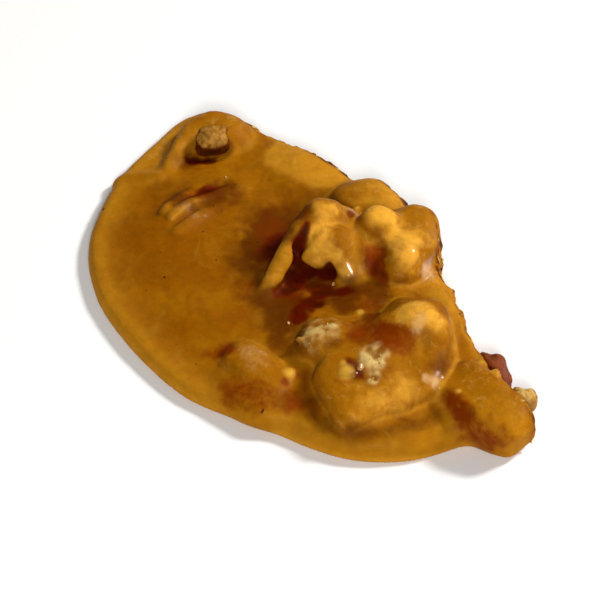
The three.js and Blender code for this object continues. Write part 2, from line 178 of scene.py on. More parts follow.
# Where the candy's tone changes, some of it painted light and shade: place, radius and strength.
# Paler candy over the pecans, and painted light on the lit tops and faces of the lumps.
PALE_AND_LIT = [
    # the tall pecan's face, its spur, its crown and its right flank
    (-1.8, -11.2, 11.8, 3.0, 1.0), (1.4, -11.2, 9.8, 2.4, 0.9), (4.0, -10.3, 8.6, 1.8, 0.8),
    (-5.2, -8.4, 14.6, 2.6, 0.6), (-3.0, -7.2, 13.8, 2.4, 0.5),
    # the fin's foot and middle
    (-3.2, -20.4, 7.6, 1.8, 0.3),
    # the cluster
    (1.6, -1.2, 14.2, 3.8, 0.9), (6.8, -1.0, 12.6, 2.8, 0.85), (9.0, -2.0, 12.6, 3.2, 0.75),
    (11.0, -1.6, 11.8, 2.6, 0.5),
    (8.8, 1.8, 12.4, 2.6, 0.55), (10.8, -3.6, 11.4, 2.2, 0.4),
    # the large pecan's nub, and its back
    (22.8, -9.8, 13.2, 3.4, 0.7), (25.4, -8.8, 12.4, 2.6, 0.6), (20.8, -11.6, 12.4, 2.8, 0.8),
    (30.5, -19.5, 7.8, 4.6, 0.4), (29.5, -26.0, 7.2, 5.0, 0.3), (29, -22.5, 7.6, 7.0, 0.2),
    # the low pecan, the tip, the half-sunk sliver
    (7, -32.3, 6.6, 3.2, 0.25), (11.6, -32.6, 6.4, 2.4, 0.15), (-1.8, -12.8, 9.0, 2.2, 0.5),
    (45.6, -8.4, 7.2, 2.6, 0.2), (-27.2, -22.4, 6.1, 1.6, 0.15), (-24.6, -13.2, 5.6, 1.8, 0.2),
    (13.6, -4.2, 9, 3.0, 0.35),
]
# Orange-red candy, and painted orange shade on the shaded sides and feet of the lumps.
ORANGE_AND_SHADE = [
    (5.6, -4.8, 10.4, 2.4, 0.8), (7.4, -6.2, 9.0, 2.6, 0.9), (9.7, -6.7, 8.6, 1.8, 0.8),
    (12.5, -12, 7.9, 3.4, 0.4), (17.6, -17.2, 9.6, 4.6, 0.7), (21.9, -16.0, 10.6, 4.0, 0.8),
    (24.9, -15.2, 10.9, 3.4, 0.5), (26, -21, 9.3, 3.0, 0.5), (46.4, -11.6, 5.6, 2.6, 0.4),
    (3.8, -6.0, 11.0, 2.0, 0.3), (-28.0, -18.0, 5.6, 2.6, 0.6),
    (-33, -31, 4, 6, 0.15), (-22, -38.5, 3.6, 5, 0.2),
    (11.5, -39.3, 4.2, 3.8, 0.65), (15.5, -37.0, 4.6, 3.6, 0.6), (3.4, -35.6, 5.6, 2.6, 0.8),
    (1.8, -38.2, 4.8, 2.0, 0.5), (19.4, -33.0, 4.8, 3.0, 0.7), (15.3, -29.4, 5.2, 2.2, 0.6),
    (36.6, -15.0, 7.2, 2.6, 0.9), (39.3, -15.4, 7, 2.8, 0.9), (43.5, -13.8, 4.2, 4.8, 0.72),
    (-13, -12, 5.4, 5.0, 0.5), (-5, -24, 5.3, 3.0, 0.4), (15.6, -32, 5.2, 1.2, 0.8),
    (-0.6, -3.2, 12.4, 2.2, 0.4),
]
# Broad painted brown shade between the pecans and round their feet, over the darker tone of the thick candy
# there.
BROWN_SHADE = [
    (-10, -15.0, 5.6, 6.0, 0.9), (-12.6, -11.0, 5.4, 7.0, 0.85), (-18.5, -9.0, 5.2, 8.5, 0.4),
    (-12.4, -19.6, 5.3, 5.0, 0.5), (-7.0, -22, 5.3, 4.2, 0.6), (-2, -24.4, 5.2, 4.0, 0.6),
    (0.5, -22.4, 5.5, 3.6, 0.7), (3.5, -20.0, 6.0, 4.0, 0.9), (4.5, -25.6, 5.7, 3.6, 0.7),
    (7.0, -24, 6.2, 3.2, 0.6), (8.6, -27.8, 5.6, 3.2, 0.7), (12.2, -26.6, 6.8, 2.6, 0.6),
    (6, -17, 6.9, 3.6, 0.6), (9.4, -15.2, 7.6, 3.4, 0.8), (12.4, -12, 8, 3.4, 0.6),
    (7.5, -12, 7.2, 3.4, 0.8), (11, -9, 8, 3.4, 0.7), (15.5, -14.4, 8.9, 2.6, 0.8),
    (17.4, -18, 9.6, 2.8, 0.5), (16.6, -23, 9, 2.4, 0.6), (-26, -14.5, 5.6, 4.8, 0.8),
    (-33, -20.4, 4.4, 4.4, 0.4), (23.2, -23.6, 9.2, 2.4, 0.9), (27.6, -11.8, 11, 3.0, 0.3),
    (30.6, -12.8, 9.4, 2.8, 0.6), (24.0, -5.6, 12.2, 2.4, 0.4), (42.5, -9.5, 7.6, 4.5, 0.3),
    (30, -29.5, 4.6, 4, 0.35), (22, -33.2, 4.6, 5, 0.35), (35, -24, 5, 4, 0.3), (40, -18, 4.4, 3, 0.3),
    (-6.8, -10.6, 13.0, 2.6, 0.9), (-6.0, -14.2, 11.4, 2.6, 0.75), (-28.6, -21.0, 5.4, 2.8, 0.8),
    (-26.4, -20.0, 5.8, 2.4, 0.5),
    (10.2, -24.8, 8.2, 3.0, 0.5), (-1.0, -21.8, 5.4, 2.6, 0.7), (17.4, -34.2, 4.8, 3.0, 0.4),
    (8.4, -24.6, 7.0, 2.6, 0.5), (-37.0, -13.2, 4.6, 3.6, 0.6),
]
# Painted deep shade, dark red in the cave under the tall pecan's face, the slot by the fin and other hollows.
DARK_SHADE = [
    (-9.4, -13.6, 5.6, 4.4, 0.6), (-8.0, -17.4, 5.6, 3.2, 0.5),
    (-4.0, -14.6, 8.4, 1.8, 0.7), (-2.6, -12.6, 7.4, 2.4, 0.5),
    (-2.6, -12.9, 5.6, 2.6, 0.5), (0.4, -10.7, 5.0, 3.0, 0.8), (-1.7, -16.5, 5.5, 3.2, 0.8),
    (-1.5, -20.8, 5.4, 2.0, 0.5), (3.3, -14.8, 5.7, 3.0, 0.7), (1.5, -19.2, 5.5, 3.0, 0.4),
    (6.6, -21.7, 6.8, 2.2, 0.7), (5.9, -18.2, 6.8, 2.2, 0.8), (6.4, -12.8, 6.8, 1.8, 0.7),
    (-28.0, -15.4, 5.3, 2.2, 0.6), (-36.7, -12.4, 4.6, 2.2, 0.6), (-36.6, -11.4, 4.4, 2.4, 0.8),
    (-34.4, -9.8, 4.2, 2.2, 0.8), (-3.0, -3.9, 12.0, 1.3, 0.5), (22.6, -24.6, 9.2, 1.2, 0.6),
]
# The painted brown and dark shade also along lines: the foot of the large pecan, below its nub, and round the
# cluster.
BROWN_SHADE_STROKES = [
    ([(16.0, -28.6, 5.2, 0.8), (19.4, -30.8, 5.0, 1.2), (24.0, -32.0, 4.6, 1.4), (29.0, -31.4, 4.4, 1.4),
      (32.4, -27.0, 4.6, 1.4), (34.6, -21.8, 4.8, 1.6), (36.0, -17.4, 5.2, 1.6)], 0.55),
    ([(26.6, -6.6, 10.0, 1.0), (29.0, -9.4, 9.0, 1.0), (31.2, -12.0, 8.6, 1.0)], 0.5),
    ([(8.8, 4.0, 12.1, 0.5), (10.4, 1.8, 12.2, 0.5), (11.5, -0.6, 11.4, 0.5), (12.3, -2.9, 10.6, 0.5)], 0.6),
]
DARK_SHADE_STROKES = [
    ([(-4.6, -11.8, 13.4, 0.5), (-3.9, -13.0, 12.4, 1.0), (-3.7, -14.1, 10.8, 1.3),
      (-4.0, -15.0, 8.6, 1.4)], 1.0),
    ([(7.2, -22.8, 6.8, 1.2), (5.0, -21.2, 6.6, 1.4), (3.8, -18.8, 6.1, 1.2), (4.0, -16.2, 5.9, 1.0),
      (5.4, -13.4, 6.4, 1.2), (8.0, -12.0, 7.4, 1.0)], 0.65),
    ([(9.8, -6.2, 9.0, 0.9), (7.4, -7.0, 8.8, 1.1), (6.2, -5.6, 10.2, 0.9)], 0.6),
    ([(21.0, -23.4, 9.4, 0.9), (23.4, -24.2, 9.0, 1.0), (25.4, -23.4, 9.0, 0.7)], 0.7),
    ([(34.6, -16.4, 7.6, 1.0), (36.8, -15.2, 7.2, 1.4), (38.6, -15.6, 6.6, 1.2)], 0.3),
    ([(-27.6, -20.5, 5.6, 0.6), (-28.0, -16.6, 5.4, 1.0), (-26.6, -13.0, 5.2, 0.8)], 0.7),
]
# Painted sheen, whitish patches that paint in reflected light on the candy; and its glossy spots.
PAINTED_SHEEN = [
    (31.2, -15.6, 8.6, 1.3, 0.8), (32.6, -14.9, 8.6, 1.3, 0.8), (5.0, -8.1, 8.2, 1.3, 0.4),
    (12.4, 0.2, 8.3, 2.2, 0.6), (-41.4, -17, 3.4, 5.5, 0.15), (-44, -10, 3, 6, 0.2),
    (-26, -21, 6.2, 1.3, 0.35), (-23.7, -21, 5.9, 1.1, 0.3), (23.4, -10.6, 13.2, 1.8, 0.35),
    (24.3, -11.8, 12.4, 1.6, 0.4), (8.5, -33.0, 6.6, 3.4, 0.3),
]
WET = [
    (4.7, -10.2, 8, 2.2, 1.0), (9.1, -2, 12.6, 2.4, 1.0), (12, 0.6, 8.3, 2.2, 1.0),
    (-25, -21.5, 6, 3.4, 0.8), (23.5, -23, 9.6, 2, 1.0), (21.9, -9.7, 13.2, 2.2, 0.8),
    (32, -15.2, 8.6, 2.4, 0.8), (34.5, -8.5, 7.7, 1.3, 0.8), (-3.4, -2.4, 12, 1.6, 1.0),
]
# Rough patches of crumbs on the candy: place, radius and strength.
CRUMBS = [
    (12.8, -22.8, 9.2, 4.6, 0.6), (12.6, -21.2, 9.6, 2.4, 0.5),
    (23.6, -20.2, 10.4, 3.0, 0.9), (26.2, -22.4, 9.2, 1.6, 1.0),
]
# Single bits: place, size and heading.
BITS = [
    ((22.6, -25.1, 9.2), (3.0, 1.3, 1.6), 40), ((21.0, -24.6, 9.4), (1.3, 1.0, 1.1), 0),
    ((12.7, -14.2, 7.4), (1.7, 0.8, 0.9), 70), ((-5.6, -0.4, 9.2), (1.0, 0.9, 1.2), 40),
    ((33.0, -5.4, 8.0), (1.9, 1.3, 1.2), 10), ((37.2, -6.2, 8.0), (2.3, 1.5, 1.4), 160),
    ((14.5, -30.4, 5.4), (1.7, 2.3, 1.3), 20), ((36.3, -13.0, 8.6), (1.1, 1.0, 0.8), 0),
    ((34.5, -8.5, 7.7), (1.3, 0.9, 0.8), 30), ((11.3, -25.6, 5.6), (1.4, 1.2, 1.0), 50),
]

# The grid that holds the candy: its cell and its corners.
CELL = 0.36
LOW = (-50.0, -48.5, -0.9)
HIGH = (50.5, 12.0, 16.5)

# ------------------------------------------------------------------ fields of distances


def smooth_step(low, high, value):
    t = np.clip((value - low) / (high - low), 0, 1)
    return t * t * (3 - 2 * t)


def soft_min(a, b, blend):
    t = np.clip(0.5 + 0.5 * (b - a) / blend, 0, 1)
    return b + (a - b) * t - blend * t * (1 - t)


def rotation(heading, pitch, roll):
    h, p, r = (math.radians(angle) for angle in (heading, pitch, roll))
    about_z = np.array([[math.cos(h), -math.sin(h), 0], [math.sin(h), math.cos(h), 0], [0, 0, 1]])
    about_y = np.array([[math.cos(p), 0, -math.sin(p)], [0, 1, 0], [math.sin(p), 0, math.cos(p)]])
    about_x = np.array([[1, 0, 0], [0, math.cos(r), -math.sin(r)], [0, math.sin(r), math.cos(r)]])
    return about_z @ about_y @ about_x


def block_distance(points, shape):
    turned = rotation(*shape["turn"]).T
    offset = [p - c for p, c in zip(points, shape["at"])]
    power = shape["square"]
    total = 0.0
    slope = 0.0
    for row, full in zip(turned, shape["size"]):
        ratio = np.abs(sum(k * o for k, o in zip(row, offset))) / (full / 2) + 1e-6
        total = total + ratio**power
        slope = slope + (ratio ** (power - 1) / (full / 2)) ** 2
    size = total ** (1 / power)
    return (size - 1) / (np.sqrt(slope) * size ** (1 - power))


def chain_distance(points, chain):
    best = None
    for start, end in zip(chain, chain[1:]):
        line = [b - a for a, b in zip(start[:3], end[:3])]
        length = sum(k * k for k in line)
        offset = [p - a for p, a in zip(points, start)]
        along = np.clip(sum(k * o for k, o in zip(line, offset)) / length, 0, 1)
        gap = sum((o - k * along) ** 2 for k, o in zip(line, offset))
        reach = np.sqrt(gap) - (start[3] + (end[3] - start[3]) * along)
        best = reach if best is None else np.minimum(best, reach)
    return best


def smooth_curve(points, closed, steps):
    """A Catmull-Rom curve through the points."""
    knots = np.array(points, float)
    count = len(knots) if closed else len(knots) - 1
    spots = []
    for i in range(count):
        if closed:
            a, b, c, d = (knots[(i + k) % len(knots)] for k in (-1, 0, 1, 2))
        else:
            a, b, c, d = (knots[min(max(i + k, 0), len(knots) - 1)] for k in (-1, 0, 1, 2))
        for t in np.arange(steps) / steps:
            flow = (c - a) * t + (2 * a - 5 * b + 4 * c - d) * t**2 + (3 * b - a - 3 * c + d) * t**3
            spots.append(b + flow / 2)
    if not closed:
        spots.append(knots[-1])
    return np.array(spots)


def rim_distance(x, y):
    """Distance to the rim in plan, negative inside it."""
    outline = smooth_curve(RIM, True, 8)
    best = np.full(x.shape, 1e9)
    inside = np.zeros(x.shape, bool)
    for (ax, ay), (bx, by) in zip(outline, np.roll(outline, -1, 0)):
        ex, ey = bx - ax, by - ay
        along = np.clip(((x - ax) * ex + (y - ay) * ey) / (ex * ex + ey * ey), 0, 1)
        best = np.minimum(best, (x - ax - along * ex) ** 2 + (y - ay - along * ey) ** 2)
        if ay != by:
            inside ^= ((ay > y) != (by > y)) & (x < (bx - ax) * (y - ay) / (by - ay) + ax)
    return np.sqrt(best) * np.where(inside, -1, 1)


def break_y(x):
    line = smooth_curve(BREAK, False, 8)
    return np.interp(x, line[:, 0], line[:, 1])


def pool_top(out):
    return EDGE_HEIGHT + (POOL_HEIGHT - EDGE_HEIGHT) * smooth_step(0, RISE, -out)


def point_noise(points, spacing, seed):
    """Smooth noise from -1 to 1 at points, with lumps of about that spacing."""
    scaled = points / spacing + 100.0
    base = np.floor(scaled).astype(np.int64)
    part = scaled - base
    part = part * part * (3 - 2 * part)
    total = np.zeros(len(points))
    for corner in range(8):
        step = np.array([corner & 1, corner >> 1 & 1, corner >> 2 & 1])
        spot = base + step
        mixed = (spot[:, 0] * 73856093) ^ (spot[:, 1] * 19349663) ^ (spot[:, 2] * 83492791)
        mixed = (mixed ^ (seed * 2654435761)) * 2246822519 % 4294967296
        mixed = (mixed ^ (mixed >> 15)) * 3266489917 % 4294967296
        weight = np.prod(np.where(step == 1, part, 1 - part), axis=1)
        total += weight * (mixed / 2147483648.0 - 1)
    return total


class Field:
    """Distances on a regular grid of the given cell."""

    def __init__(self, low, high, cell):
        self.low = np.array(low, float)
        self.cell = cell
        self.lines = [np.arange(a, b + cell, cell, dtype=np.float32) for a, b in zip(low, high)]
        self.values = np.full([len(line) for line in self.lines], 1e3, np.float32)
        self.sway = [0.0, 0.0, 0.0]

    def noise(self, spacing, seed):
        """Smooth noise from -1 to 1 over the whole grid."""
        weights = []
        for line in self.lines:
            place = (line - line[0]) / spacing
            base = np.floor(place).astype(int)
            part = place - base
            part = part * part * (3 - 2 * part)
            table = np.zeros((len(line), base.max() + 2), np.float32)
            rows = np.arange(len(line))
            table[rows, base] = 1 - part
            table[rows, base + 1] = part
            weights.append(table)
        lattice = np.random.default_rng(seed).uniform(-1, 1, [t.shape[1] for t in weights])
        grid = np.einsum("kc,abc->abk", weights[2], lattice.astype(np.float32), optimize=True)
        grid = np.einsum("jb,abk->ajk", weights[1], grid, optimize=True)
        return np.einsum("ia,ajk->ijk", weights[0], grid, optimize=True)

    def window(self, low, high):
        parts = []
        for k in range(3):
            start = int((low[k] - self.low[k]) / self.cell)
            stop = int((high[k] - self.low[k]) / self.cell) + 2
            parts.append(slice(max(start, 0), max(min(stop, len(self.lines[k])), 0)))
        return tuple(parts)

    def points(self, window, swayed=True):
        axes = np.meshgrid(*[line[part] for line, part in zip(self.lines, window)], indexing="ij")
        if swayed and not isinstance(self.sway[0], float):
            axes = [axis + sway[window] for axis, sway in zip(axes, self.sway)]
        return axes

    def join(self, window, distance, blend):
        self.values[window] = soft_min(self.values[window], distance, blend)

    def cut(self, window, distance, blend):
        self.values[window] = -soft_min(-self.values[window], distance, blend)

    def soften(self, times):
        """Round off creases with a running mean over three cells on each axis."""
        for _ in range(times):
            for axis in range(3):
                ahead = np.roll(self.values, -1, axis)
                behind = np.roll(self.values, 1, axis)
                self.values = (self.values + ahead + behind) / 3

    def top(self, x, y):
        """Height of the surface above a place."""
        i = int(round((x - self.low[0]) / self.cell))
        j = int(round((y - self.low[1]) / self.cell))
        return float(self.lines[2][np.nonzero(self.values[i, j] < 0)[0].max()])

    def block_window(self, shape):
        reach = max(shape["size"]) / 2 + shape["blend"] + 1.5
        return self.window([c - reach for c in shape["at"]], [c + reach for c in shape["at"]])

    def chain_window(self, chain, blend):
        spots = np.array(chain)
        reach = spots[:, 3].max() + blend + 1.5
        return self.window(spots[:, :3].min(0) - reach, spots[:, :3].max(0) + reach)

    def sample(self, points):
        """The value at any points, from the eight grid values round each."""
        whole = (points - self.low) / self.cell
        place = np.clip(whole, 0, np.array(self.values.shape) - 1.001)
        base = place.astype(int)
        part = place - base
        total = np.zeros(len(points))
        for corner in range(8):
            step = np.array([corner & 1, corner >> 1 & 1, corner >> 2 & 1])
            weight = np.prod(np.where(step == 1, part, 1 - part), axis=1)
            total += weight * self.values[tuple((base + step).T)]
        return total + np.linalg.norm(whole - place, axis=1) * self.cell


def pool_field(field):
    x, y = np.meshgrid(field.lines[0], field.lines[1], indexing="ij")
    out = rim_distance(x, y)
    top = pool_top(out) + 0.25 * np.sin(x / 7.1 + 1) * np.sin(y / 6.3 + 0.4) * smooth_step(0, 8, -out)
    z = field.lines[2][None, None, :]
    side = out[:, :, None] + RIM_RADIUS
    above = z - top[:, :, None] + RIM_RADIUS
    corner = np.hypot(np.maximum(side, 0), np.maximum(above, 0))
    upper = corner + np.minimum(np.maximum(side, above), 0) - RIM_RADIUS
    foot_side = out[:, :, None] + FOOT_RADIUS
    below = FOOT_RADIUS - z
    corner = np.hypot(np.maximum(foot_side, 0), np.maximum(below, 0))
    lower = corner + np.minimum(np.maximum(foot_side, below), 0) - FOOT_RADIUS
    field.values = np.maximum(upper, lower).astype(np.float32)


def break_distance(field, rough):
    """Distance past the broken face, with its granular relief where rough is 1."""
    plain = BREAK_SLANT * (field.lines[1][None, :, None] - break_y(field.lines[0])[:, None, None])
    relief = 0.55 * field.noise(2.7, 31) + 0.38 * field.noise(1.25, 32) + 0.2 * field.noise(0.75, 33)
    return plain + rough * relief


def bit_blocks(field):
    """The single bits, half sunk in the candy."""
    for (x, y, _), size, heading in BITS:
        place = (x, y, field.top(x, y) + 0.1 * size[2])
        yield block(place, size, heading, blend=0.4, square=2.4)


def cut_pecan_distance(points, shape):
    """A pecan inside the candy, its outline wavy where the break cuts it."""
    heading = math.radians(shape["turn"][0])
    x, y, z = points
    along = math.cos(heading) * (x - shape["at"][0]) + math.sin(heading) * (y - shape["at"][1])
    wave = 0.3 * np.sin(1.3 * along + 0.9) * np.sin(0.7 * along - 0.4) + 0.07 * np.sin(2.6 * along + 2.2 * z)
    return block_distance(points, shape) + wave


def candy_field():
    field = Field(LOW, HIGH, CELL)
    pool_field(field)
    field.sway = [0.5 * field.noise(4.6, seed) for seed in (11, 12, 13)]
    steps = ((MOUNDS, field.join), (DIPS, field.cut), (LUMPS, field.join), (HOLLOWS, field.cut))
    for shapes, change in steps:
        for shape in shapes:
            window = field.block_window(shape)
            change(window, block_distance(field.points(window), shape), shape["blend"])
    for chain, blend in RIDGES:
        window = field.chain_window(chain, blend)
        field.join(window, chain_distance(field.points(window), chain), blend)
    field.soften(1)
    for chains, change in ((LOW_RIDGES, field.join), (LOW_GROOVES, field.cut)):
        for chain, blend in chains:
            window = field.chain_window(chain, blend)
            change(window, chain_distance(field.points(window), chain), blend)
    for shape in bit_blocks(field):
        window = field.block_window(shape)
        field.join(window, block_distance(field.points(window), shape), shape["blend"])
    for name in CUT_PECANS:
        window = field.block_window(PECANS[name])
        field.cut(window, cut_pecan_distance(field.points(window, swayed=False), PECANS[name]), 0.2)
    past = break_distance(field, 1.0)
    field.values = -soft_min(-field.values, -past, BREAK_BLEND)
    z = field.lines[2][None, None, :]
    field.values = np.maximum(field.values, -z).astype(np.float32)
    return field


# ------------------------------------------------------------------ meshes


def to_frame(points):
    return (np.asarray(points) - MIDDLE) * MM


def make_object(name, points, faces, material, smooth=True):
    mesh = bpy.data.meshes.new(name)
    mesh.from_pydata(to_frame(points).tolist(), [], faces.tolist())
    mesh.update()
    mesh.polygons.foreach_set("use_smooth", [smooth] * len(mesh.polygons))
    mesh.materials.append(material)
    piece = bpy.data.objects.new(name, mesh)
    bpy.context.scene.collection.objects.link(piece)
    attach(piece, "root")
    return piece


def skin(field):
    """Points in millimetres and quads of the field's zero surface, facing out."""
    band = 3 * field.cell
    grid = openvdb.FloatGrid(background=band)
    grid.copyFromArray(np.clip(field.values, -band, band))
    points, quads = grid.convertToQuads(isovalue=0.0)
    return points * field.cell + field.low, quads


def point_normals(points, quads):
    """Area-weighted normals of a quad mesh."""
    a, b, c, d = (points[quads[:, k]] for k in range(4))
    face = np.cross(c - a, d - b)
    total = np.zeros_like(points)
    for k in range(4):
        np.add.at(total, quads[:, k], face)
    return total / np.maximum(np.linalg.norm(total, axis=1, keepdims=True), 1e-9)


def set_layer(mesh, name, values):
    layer = mesh.attributes.new(name=name, type="FLOAT", domain="POINT")
    layer.data.foreach_set("value", np.asarray(values, np.float32))


def zone(points, places, edge_noise):
    """How far each point is inside the nearest of the places, 0 to 1, with an uneven edge."""
    best = np.zeros(len(points))
    for x, y, z, radius, strength in places:
        gap = np.linalg.norm(points - (x, y, z), axis=1) / radius + edge_noise
        best = 1 - (1 - best) * (1 - strength * smooth_step(1.3, 0.25, gap))
    return best


def strokes(points, chains, edge_noise):
    """How far each point is inside any of the chains, 0 to 1, with a soft uneven edge."""
    best = np.zeros(len(points))
    for chain, strength in chains:
        gap = chain_distance([points[:, k] for k in range(3)], chain) + edge_noise
        best = 1 - (1 - best) * (1 - strength * smooth_step(1.3, -1.5, gap))
    return best


def crease_shade(field, points, normals):
    """0 in the open to 1 deep in a crease, from how fast the field opens along the normal; it sets painted
    shade in the creases.
    """
    closed = np.zeros(len(points))
    for reach, share in ((0.8, 0.2), (1.8, 0.25), (3.6, 0.3), (6.0, 0.25)):
        open_gap = field.sample(points + normals * reach) / reach
        closed += share * np.clip(1 - open_gap, 0, 1)
    return closed


def crest(field, points, normals):
    """0 on flat or thick candy to 1 on a narrow ridge, from how soon the far side is met; it sets a painted
    highlight on ridges.
    """
    thin = np.zeros(len(points))
    for reach, share in ((0.9, 0.3), (1.6, 0.4), (2.3, 0.3)):
        depth = -field.sample(points - normals * reach) / reach
        thin += share * np.clip(1 - depth, 0, 1)
    return thin


def make_candy(material):
    field = candy_field()
    points, quads = skin(field)
    normals = point_normals(points, quads)
    out = rim_distance(points[:, 0], points[:, 1])
    past = BREAK_SLANT * (points[:, 1] - break_y(points[:, 0]))
    grain = smooth_step(-1.5, -0.7, past) * smooth_step(0.25, 0.6, normals[:, 1] + 0.25 * normals[:, 0] + 0.1)
    clear_of_table = smooth_step(0.1, 1.2, points[:, 2])
    crease_shade_amount = crease_shade(field, points, normals)
    ridged = crest(field, points, normals)
    raised = smooth_step(0.4, 3.0, points[:, 2] - pool_top(out))
    lift = 0.10 * point_noise(points, 8.0, 3) + (0.06 + 0.03 * raised) * point_noise(points, 3.0, 4)
    lift += (0.03 + 0.03 * raised) * point_noise(points, 1.4, 5)
    edge = 0.22 * point_noise(points, 2.2, 6) + 0.12 * point_noise(points, 0.9, 7)
    crumbly = zone(points, CRUMBS, 0.8 * edge)
    knobs = point_noise(points, 1.1, 8) + 0.8 * point_noise(points, 0.7, 9)
    lift += crumbly * (0.24 * knobs + 0.1)
    points = points + normals * (lift * clear_of_table * (1 - grain))[:, None]
    candy = make_object("candy_praline", points, quads, material)
    mesh = candy.data
    # Tone layers; several of them carry painted light and shade besides the candy's own tone.
    set_layer(mesh, "pale", zone(points, PALE_AND_LIT, edge))
    set_layer(mesh, "orange_and_shade", zone(points, ORANGE_AND_SHADE, edge))
    brown = 1 - (1 - zone(points, BROWN_SHADE, edge)) * (1 - strokes(points, BROWN_SHADE_STROKES, edge))
    set_layer(mesh, "brown", brown)
    dark = 1 - (1 - zone(points, DARK_SHADE, edge)) * (1 - strokes(points, DARK_SHADE_STROKES, edge))
    set_layer(mesh, "dark", dark)
    set_layer(mesh, "painted_sheen", zone(points, PAINTED_SHEEN, edge))
    set_layer(mesh, "wet", zone(points, WET, edge))
    set_layer(mesh, "crumb", crumbly)
    set_layer(mesh, "knob", smooth_step(-0.9, 0.9, knobs))
    set_layer(mesh, "bit", zone(points, [(*at, max(size) * 0.5, 1.0) for at, size, _ in BITS], 0.2 * edge))
    set_layer(mesh, "grain", grain)
    set_layer(mesh, "crease_shade", crease_shade_amount)
    set_layer(mesh, "lump", raised)
    # Narrow ridges, for their painted highlight.
    set_layer(mesh, "crest", ridged)
    # Near the rim and away from the break: paler thin candy there, and a painted glow along the edge.
    set_layer(mesh, "thin", smooth_step(-4.5, 0.0, out) * smooth_step(-1.0, -3.0, past))
    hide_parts("candy")
    return points, normals, grain


def make_pecan(name, shape, material, cut):
    """A bare pecan piece with shallow lengthwise furrows, cut flush with the break where cut."""
    cell = 0.2
    reach = max(shape["size"]) / 2 + 0.8
    field = Field([c - reach for c in shape["at"]], [c + reach for c in shape["at"]], cell)
    px, py, pz = field.points(tuple(slice(0, len(line)) for line in field.lines))
    if cut:
        relief = 0.2 * field.noise(1.3, 56) + 0.1 * field.noise(0.6, 57)
        past = BREAK_SLANT * (py - break_y(px)) - 0.25 + relief
        distance = np.maximum(cut_pecan_distance((px, py, pz), shape) - POCKET_LAP, past)
    else:
        bent = [axis + 0.5 * field.noise(2.2, seed) for axis, seed in zip((px, py, pz), (51, 52, 53))]
        heading = math.radians(shape["turn"][0])
        across = -math.sin(heading) * (px - shape["at"][0]) + math.cos(heading) * (py - shape["at"][1])
        furrow = 0.2 * np.sin(across * 2.4 + 1.2 * field.noise(3.0, 54))
        distance = block_distance(bent, shape) + furrow + 0.16 * field.noise(0.9, 55)
    field.values = np.asarray(np.maximum(distance, 0.25 - pz), np.float32)
    points, quads = skin(field)
    normals = point_normals(points, quads)
    piece = make_object(name, points, quads, material)
    spots = [points[:, k] for k in range(3)]
    if cut:
        deep = POCKET_LAP - cut_pecan_distance(spots, shape)
        flesh = smooth_step(0.05, 0.7, deep + 0.2 * point_noise(points, 0.9, 58))
        middle = np.abs(points[:, 2] - shape["at"][2] + 0.5 * point_noise(points, 2.2, 60) + 0.35)
        seam = smooth_step(0.75, 0.1, middle) * smooth_step(0.6, 1.4, deep)
    else:
        flesh = smooth_step(0.3, 0.85, normals[:, 2] + 0.5 * point_noise(points, 1.8, 59))
        seam = np.zeros(len(points))
    set_layer(piece.data, "flesh", flesh)
    set_layer(piece.data, "seam", seam)
    return piece


def grain_cloud(name, places, sizes, seed, material, flat=0.75, detail=1):
    """Small uneven grains at the places, joined in one piece."""
    seeded = np.random.default_rng(seed)
    ball = bmesh.new()
    bmesh.ops.create_icosphere(ball, subdivisions=detail, radius=1.0)
    unit = np.array([v.co[:] for v in ball.verts])
    faces = np.array([[v.index for v in f.verts] for f in ball.faces])
    ball.free()
    all_points = []
    all_faces = []
    for place, size in zip(places, sizes):
        bumps = 1 + 0.28 * point_noise(unit + seeded.uniform(0, 40, 3), 0.9, seed)
        stretch = seeded.uniform(0.6, 1.2, 3) * (1, 1, flat)
        turned = rotation(*seeded.uniform(0, 360, 3))
        grain = (unit * bumps[:, None] * stretch * size / 2) @ turned.T + place
        grain[:, 2] = np.maximum(grain[:, 2], 0.02)
        all_faces.append(faces + len(unit) * len(all_points))
        all_points.append(grain)
    piece = make_object(name, np.concatenate(all_points), np.concatenate(all_faces), material, smooth=False)
    return piece


# ------------------------------------------------------------------ materials


def linear(red, green, blue):
    """A display colour of 0 to 255 as the linear colour that shaders take."""
    steps = []
    for value in (red, green, blue):
        share = value / 255
        steps.append(share / 12.92 if share <= 0.04045 else ((share + 0.055) / 1.055) ** 2.4)
    return (*steps, 1.0)


